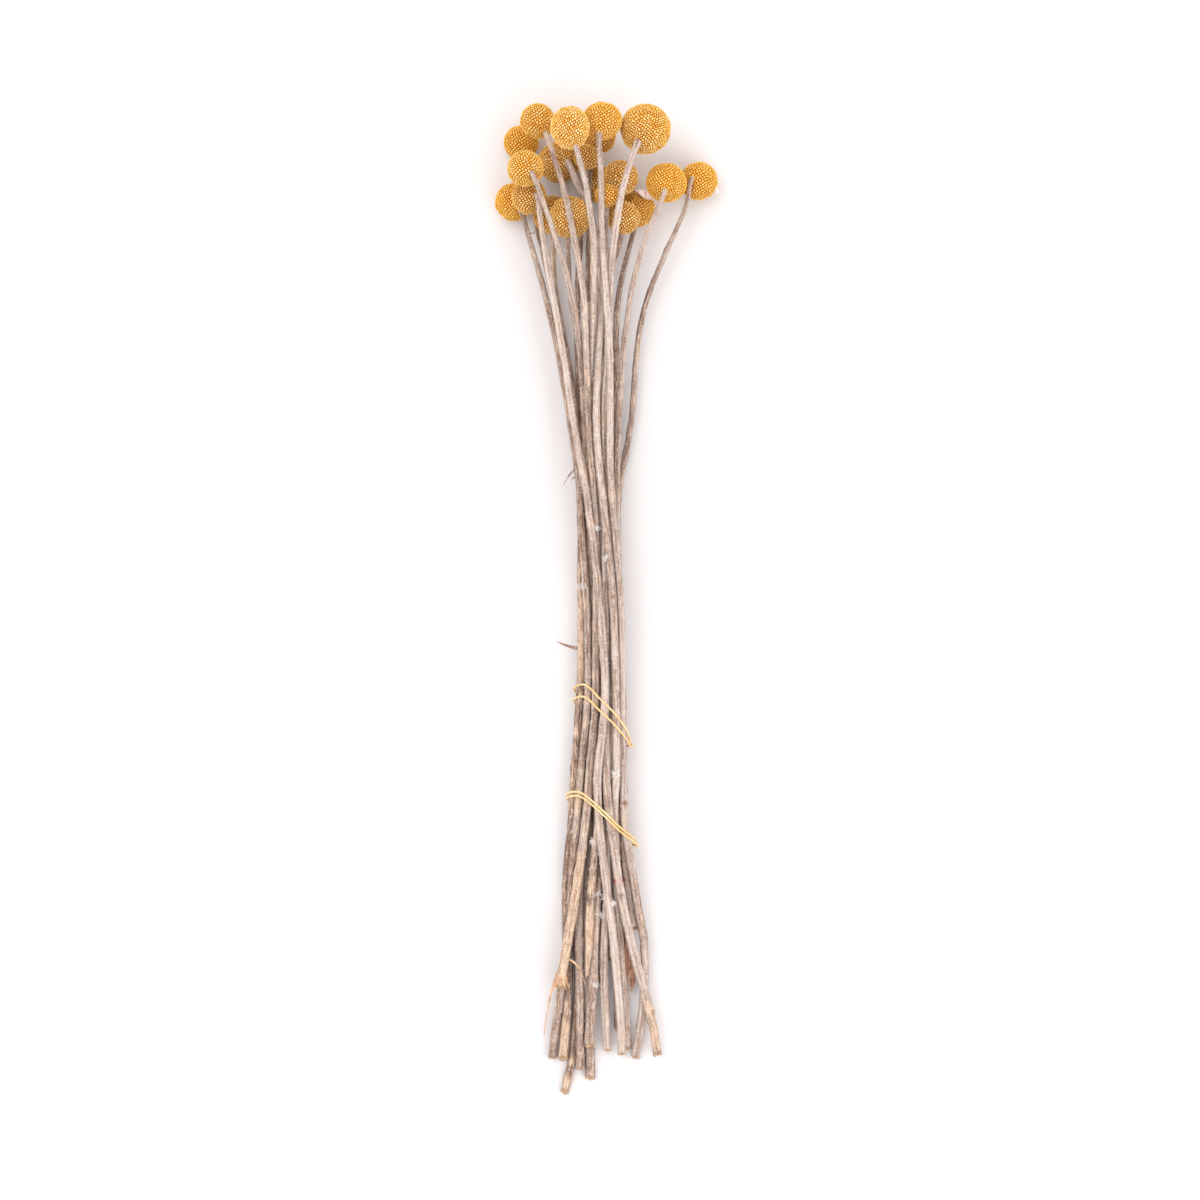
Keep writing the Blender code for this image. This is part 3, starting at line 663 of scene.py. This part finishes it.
def add_blade(name, root, bend, tip, width, finish, leaf=False):
    """A thin curled blade along a bent line. A leaf is widest past its middle, a strip at its root."""
    bm = bmesh.new()
    bmesh.ops.create_grid(bm, x_segments=4, y_segments=16, size=1)
    for vert in bm.verts:
        share = (vert.co.y + 1) / 2
        across = vert.co.x
        here = root * (1 - share) ** 2 + bend * 2 * share * (1 - share) + tip * share**2
        heading = ((bend - root) * (1 - share) + (tip - bend) * share).normalized()
        side = heading.cross(Vector((0, 0, 1))).normalized()
        upward = side.cross(heading)
        profile = math.sin(math.pi * (0.06 + 0.92 * share) ** 1.4) if leaf else 1 - 0.8 * share
        half = width / 2 * max(0.12, profile)
        crinkle = noise.noise(here * 700) * width * 0.12
        vert.co = here + side * across * half + upward * (across * across * half * 0.45 + crinkle)
    bmesh.ops.solidify(bm, geom=bm.faces[:], thickness=BLADE_THICKNESS)
    bmesh.ops.recalc_face_normals(bm, faces=bm.faces)
    for face in bm.faces:
        face.smooth = True
    piece = add_piece(name, bm, finish)
    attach(piece, "root")


withered = leaf_finish("withered_leaf", (0.20, 0.11, 0.08), (0.40, 0.25, 0.19), (0.62, 0.47, 0.40))
russet = leaf_finish("russet_leaf", (0.17, 0.07, 0.045), (0.34, 0.17, 0.11), (0.50, 0.30, 0.21))
torn_bark = leaf_finish("torn_bark", (0.42, 0.20, 0.10), (0.70, 0.42, 0.24), (0.88, 0.68, 0.48))
bract = leaf_finish("pale_bract", (0.60, 0.30, 0.28), (0.85, 0.70, 0.68), (0.93, 0.86, 0.84))

# Each blade: its stem, where its root lies along it, and from there its bend and its tip, then
# its width and its finish.
BLADES = {
    "leaf_side": ("10", -0.0246, (-0.0060, 0.0005, 0.0010), (-0.0120, 0.0035, 0.0020), 0.0024, withered),
    "leaf_curled": ("09", 0.0649, (-0.0040, -0.0020, 0.0005), (-0.0068, -0.0085, 0.0005), 0.0012, withered),
    "thorn": ("09", 0.0625, (-0.0025, -0.0010, 0.0005), (-0.0035, -0.0022, 0.0008), 0.0010, withered),
    "leaf_neck": ("09", 0.1824, (0.0034, -0.0005, 0.0004), (0.0046, 0.0022, 0.0006), 0.0010, withered),
    "bark_strip_long": (
        "01",
        -0.1801,
        (-0.0070, -0.0090, -0.0020),
        (-0.0102, -0.0375, -0.0085),
        0.0018,
        torn_bark,
    ),
    "bark_strip_short": (
        "01",
        -0.1790,
        (0.0075, -0.0010, 0.0010),
        (0.0100, -0.0130, -0.0010),
        0.0014,
        torn_bark,
    ),
}
for name, (number, along, bend, tip, width, finish) in BLADES.items():
    root = stem_spot(number, along)
    add_blade(name, root, root + Vector(bend), root + Vector(tip), width, finish)

# Frayed bark round the torn foot of one stem.
SHREDS = 10
SHRED_LENGTH = 0.0075
SHRED_WIDTH = 0.0013
SHRED_ROOT = -0.1875
for shred in range(SHREDS):
    around = 2 * math.pi * shred / SHREDS
    stray = noise.noise_vector((shred * 2.3, 0.6, 0.1))
    outward = Vector((math.cos(around), 0, math.sin(around)))
    root = stem_spot("01", SHRED_ROOT) + outward * stem_sizes["01"][0] * 0.9
    reach = Vector((0, -SHRED_LENGTH * (0.8 + 0.7 * stray.y), 0))
    bend = root + outward * 0.0004 + reach / 2
    tip = root + outward * 0.0016 + reach + stray * 0.002
    add_blade(f"bark_shred_{shred}", root, bend, tip, SHRED_WIDTH, torn_bark)

# A brown leaf that hangs between two stems, and two papery bracts by the heads.
root = stem_spot("03", -0.168)
add_blade(
    "leaf_hanging",
    root,
    root + Vector((0.0072, -0.0120, -0.0010)),
    root + Vector((0.0060, -0.0285, -0.0030)),
    0.0052,
    russet,
    leaf=True,
)
BRACTS = (
    ("bract_large", (0.0138, 0.2040, 0.0205), (0.0190, 0.2030, 0.0220), (0.0232, 0.1992, 0.0200), 0.0040),
    ("bract_small", (0.0535, 0.2075, 0.0110), (0.0555, 0.2060, 0.0110), (0.0560, 0.2030, 0.0100), 0.0022),
)
for name, root, bend, tip, width in BRACTS:
    add_blade(name, Vector(root), Vector(bend), Vector(tip), width, bract, leaf=True)

# The wool. White wool that has worked loose from the felt sits on the stems as small flecks, and
# gathers into clumps. It is short fine hairs in tufts, which grow from the stems' skin.
HAIR_RADIUS = 0.00008
FLECK_SPACING = 0.0030
FLECK_HAIRS = 5
FLECK_LENGTH = 0.0011
CLUMP_TUFTS = 9
CLUMP_HAIRS = 9
CLUMP_LENGTH = 0.0022

# The clumps' places across and along the bunch, and how far each spreads.
CLUMPS = (
    (-0.0048, 0.0355, 0.0012),
    (-0.0003, 0.0205, 0.0014),
    (-0.0128, 0.0070, 0.0022),
    (0.0052, -0.0870, 0.0022),
    (-0.0068, -0.1210, 0.0024),
    (-0.0043, -0.1470, 0.0034),
    (-0.0028, -0.1575, 0.0016),
    (0.0037, -0.1515, 0.0012),
    (-0.0053, -0.1925, 0.0022),
)


def new_tuft(name, hairs, length, spread, own):
    """A tuft of tapering hairs on the origin, as a mesh that is set in many places."""
    bm = bmesh.new()
    for hair in range(hairs):
        stray = noise.noise_vector((own * 1.9, hair * 3.3, 0.4))
        lean = Vector((stray.x * 2, stray.y * 2, 0.12 + abs(stray.z))).normalized()
        reach = length * (0.6 + abs(stray.x) * 1.4)
        root = Vector((stray.y, stray.z, 0)) * spread
        turn = lean.to_track_quat("Z", "X").to_matrix().to_4x4()
        bmesh.ops.create_cone(
            bm,
            cap_ends=True,
            segments=3,
            radius1=HAIR_RADIUS,
            radius2=HAIR_RADIUS * 0.4,
            depth=reach,
            matrix=Matrix.Translation(root + lean * reach / 2) @ turn,
        )
    mesh = bpy.data.meshes.new(name)
    bm.to_mesh(mesh)
    bm.free()
    return mesh


def set_tuft(bm, tuft, root, outward, turn):
    """Adds a copy of a tuft that stands on its root, away from the stem."""
    place = Matrix.Translation(root) @ outward.to_track_quat("Z", "Y").to_matrix().to_4x4()
    place = place @ Matrix.Rotation(turn, 4, "Z")
    tuft.transform(place)
    bm.from_mesh(tuft)
    tuft.transform(place.inverted())


def top_of_bunch(across, along):
    """The highest skin of any stem at a place across and along the bunch."""
    best = Vector((across, along, 0))
    for number, line in stem_lines.items():
        if not line[0].y < along < line[-1].y:
            continue
        row = min(range(len(line)), key=lambda k: abs(line[k].y - along))
        aside = abs(line[row].x - across)
        size = stem_sizes[number][row]
        if aside < size + 0.0008:
            height = line[row].z + math.sqrt(max(0, size * size - aside * aside))
            best.z = max(best.z, height)
    return best


white_wool, wool_shader = new_finish("white_wool", 0.95, 0.2)
wool_shader.inputs["Base Color"].default_value = (0.93, 0.89, 0.86, 1)
flecks = [new_tuft(f"fleck_{k}", FLECK_HAIRS, FLECK_LENGTH, 0.0004, k) for k in range(4)]
clump = new_tuft("clump", CLUMP_HAIRS, CLUMP_LENGTH, 0.0004, 9)
bm = bmesh.new()
for number, line in stem_lines.items():
    sizes = stem_sizes[number]
    own = int(number)
    for step in range(2, int((line[-1].y - line[0].y) / FLECK_SPACING) - 2):
        if noise.noise((own * 1.3, step * 0.27, 0.7)) < -0.15:
            continue
        row = round(step * FLECK_SPACING / STEM_STEP) + step % 2
        around = step * 2.4 + 4 * noise.noise((step * 0.77, own, 2.1))
        outward = Vector((math.cos(around), 0.3, math.sin(around))).normalized()
        root = line[row] + outward * sizes[row] * 0.95
        if root.z < 2 * FLECK_LENGTH:
            continue
        set_tuft(bm, flecks[step % 4], root, outward, step * 1.7)
for place, (across, along, spread) in enumerate(CLUMPS):
    for tuft in range(CLUMP_TUFTS):
        stray = noise.noise_vector((tuft * 1.3, place * 3.9, 7.7)) * spread
        root = top_of_bunch(across + stray.x * 1.6, along + stray.y)
        set_tuft(bm, clump, root, Vector((stray.x * 200, stray.y * 200, 1)), tuft * 2.1)
piece = add_piece("stem_wool", bm, white_wool)
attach(piece, "root")

# The rubber bands. Each is a thin loop of pale natural rubber, wound twice round the bunch.
rubber, rubber_shader = new_finish("natural_rubber", 0.42)
rubber_place = add_node(rubber, "ShaderNodeTexCoord").outputs["Object"]
cloud = add_noise(rubber, rubber_place, 90.0, 3.0)
rubber_colour = add_ramp(
    rubber, cloud, (0.3, (0.90, 0.56, 0.20)), (0.6, (0.95, 0.68, 0.34)), (0.8, (0.97, 0.78, 0.48))
)
rubber.node_tree.links.new(rubber_colour, rubber_shader.inputs["Base Color"])
rubber_shader.inputs["Subsurface Weight"].default_value = 0.15
rubber_shader.inputs["Subsurface Scale"].default_value = 0.001
powder = add_noise(rubber, rubber_place, 2600.0, 3.0)
add_bump(rubber, rubber_shader, powder, 0.00005, 0.5)
for node in ("rubber_band_upper", "rubber_band_lower"):
    bm = bmesh.new()
    bm.from_mesh(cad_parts[node].data)
    bmesh.ops.remove_doubles(bm, verts=bm.verts, dist=1e-6)
    bmesh.ops.dissolve_limit(bm, angle_limit=1e-4, verts=bm.verts, edges=bm.edges)
    for face in bm.faces:
        face.smooth = True
    piece = add_piece(f"wound_{node}", bm, rubber)
    rounded = piece.modifiers.new("rounded", "SUBSURF")
    rounded.levels = 2
    rounded.render_levels = 2
    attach(piece, "root")
    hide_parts(node)
